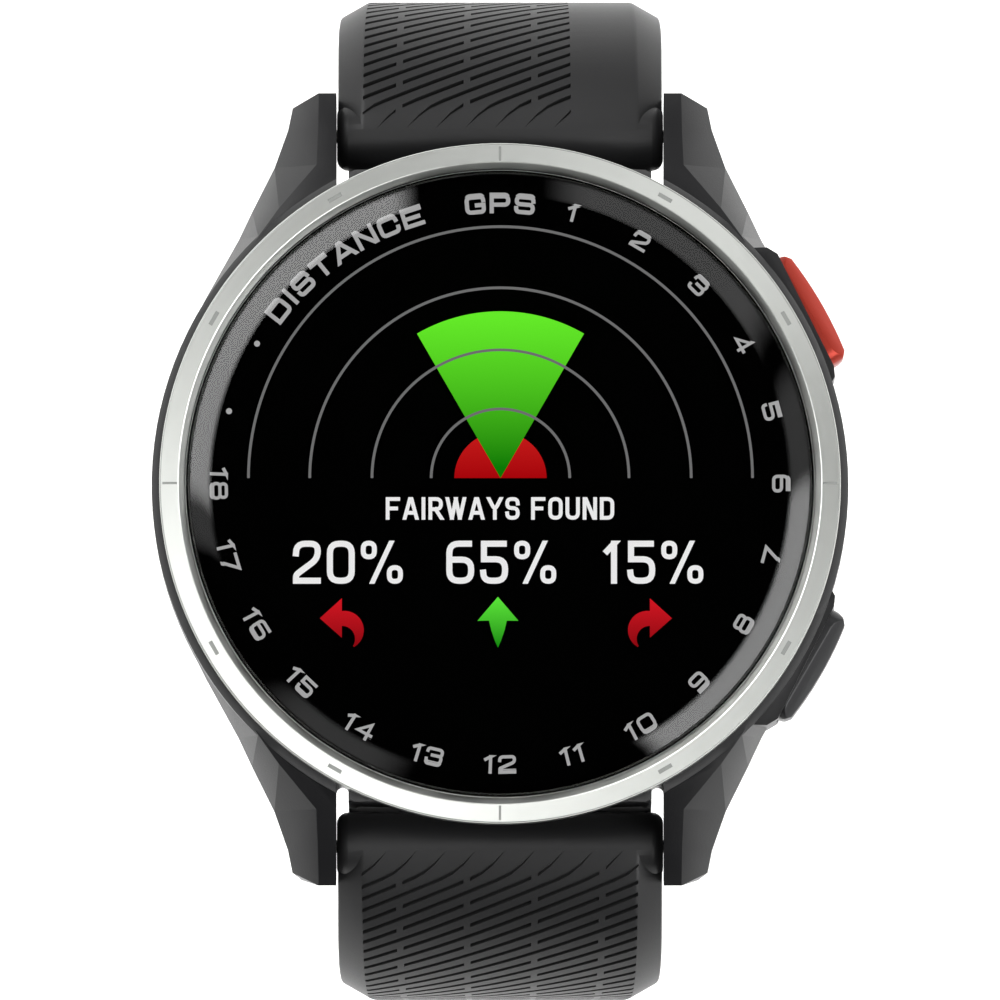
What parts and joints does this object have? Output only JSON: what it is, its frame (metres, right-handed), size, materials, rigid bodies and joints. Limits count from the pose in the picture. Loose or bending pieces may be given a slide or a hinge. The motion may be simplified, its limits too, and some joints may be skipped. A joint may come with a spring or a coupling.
{
  "type": "golf watch",
  "caption": "Round sports watch with a metal bezel, domed glass, two side buttons and a two-piece silicone strap on quick-release spring bars.",
  "frame": {"origin": "centre of the flat back that rests on the wrist", "axes": "+Z out of the glass, +Y towards 12 o'clock, +X towards 3 o'clock, where the buttons are"},
  "size_m": [0.0438, 0.063, 0.1044],
  "materials": {
    "case_polymer": "fine matte black fibre-filled polymer",
    "bezel_metal": "circularly brushed, silver",
    "cover_glass": "clear, smooth",
    "black_ink": "black print under the glass",
    "adhesive": "grey foam adhesive",
    "display": "dark glass panel",
    "magnesium": "cast, matt grey",
    "copper_flex": "amber film",
    "circuit_board": "green solder mask",
    "can_steel": "tinned sheet",
    "cell_foil": "laminated foil",
    "seal_rubber": "soft black silicone",
    "strap_silicone": "satin black silicone",
    "steel": "plain stainless",
    "spring_steel": "drawn wire",
    "buckle_black": "black coated stainless",
    "red_cap": "satin red anodised",
    "black_cap": "satin black",
    "contact_gold": "gold plated",
    "switch_body": "cream polymer",
    "block_plastic": "black polymer"
  },
  "bodies": {
    "case": {"mid_case": "case_polymer", "bezel": "bezel_metal", "glass": "cover_glass", "printed_border": "black_ink", "glass_seal": "adhesive", "display_panel": "display", "display_frame": "magnesium", "gnss_antenna": "copper_flex", "main_board": "circuit_board", "shield_cans": "can_steel", "display_flex": "copper_flex", "battery": "cell_foil", "battery_lead": "copper_flex", "vibration_motor": "steel", "back_seal": "seal_rubber", "rear_cover": "case_polymer", "case_screws": "steel", "charge_block": "block_plastic", "charge_pins": "contact_gold", "button_sleeves": "steel", "start_switch": "switch_body", "back_switch": "switch_body"},
    "start_button": {"start_cap": "red_cap", "start_stem": "steel", "start_ring_seal": "seal_rubber", "start_clip": "steel"},
    "back_button": {"back_cap": "black_cap", "back_stem": "steel", "back_ring_seal": "seal_rubber", "back_clip": "steel"},
    "upper_half": {"upper_strap": "strap_silicone", "upper_bar_tube": "steel", "upper_bar_spring": "spring_steel", "fixed_keeper": "strap_silicone", "buckle_pin": "steel"},
    "upper_release": {"upper_release_pin": "steel", "upper_release_lever": "steel"},
    "keeper": {"free_keeper": "strap_silicone"},
    "buckle": {"buckle_frame": "buckle_black"},
    "tang": {"buckle_tang": "buckle_black"},
    "lower_half": {"lower_strap": "strap_silicone", "lower_bar_tube": "steel", "lower_bar_spring": "spring_steel"},
    "lower_release": {"lower_release_pin": "steel", "lower_release_lever": "steel"}
  },
  "joints": [
    {"name": "start_press", "type": "slide", "parent": "case", "child": "start_button", "axis": [-0.866, -0.5, 0], "range_m": [0, 0.0004], "stiffness_N_per_m": 2500, "springref_m": -0.0002},
    {"name": "back_press", "type": "slide", "parent": "case", "child": "back_button", "axis": [-0.866, 0.5, 0], "range_m": [0, 0.0004], "stiffness_N_per_m": 2500, "springref_m": -0.0002},
    {"name": "upper_strap_swing", "type": "hinge", "parent": "case", "child": "upper_half", "pos_m": [0, 0.0224, 0.003], "axis": [1, 0, 0], "range_deg": [-6, 60]},
    {"name": "lower_strap_swing", "type": "hinge", "parent": "case", "child": "lower_half", "pos_m": [0, -0.0224, 0.003], "axis": [-1, 0, 0], "range_deg": [-6, 60]},
    {"name": "upper_bar_release", "type": "slide", "parent": "upper_half", "child": "upper_release", "axis": [1, 0, 0], "range_m": [0, 0.0014], "stiffness_N_per_m": 1200, "springref_m": -0.0004, "deforming": ["upper_bar_spring"]},
    {"name": "lower_bar_release", "type": "slide", "parent": "lower_half", "child": "lower_release", "axis": [1, 0, 0], "range_m": [0, 0.0014], "stiffness_N_per_m": 1200, "springref_m": -0.0004, "deforming": ["lower_bar_spring"]},
    {"name": "keeper_slide", "type": "hinge", "parent": "upper_half", "child": "keeper", "pos_m": [0, -0.0497, -0.0054], "axis": [1, 0, 0], "range_deg": [-3, 7]},
    {"name": "buckle_swing", "type": "hinge", "parent": "upper_half", "child": "buckle", "pos_m": [0, 0.01162, -0.05678], "axis": [1, 0, 0], "range_deg": [-50, 50]},
    {"name": "tang_lift", "type": "hinge", "parent": "buckle", "child": "tang", "pos_m": [0, 0.01162, -0.05678], "axis": [1, 0, 0], "range_deg": [0, 55]}
  ]
}
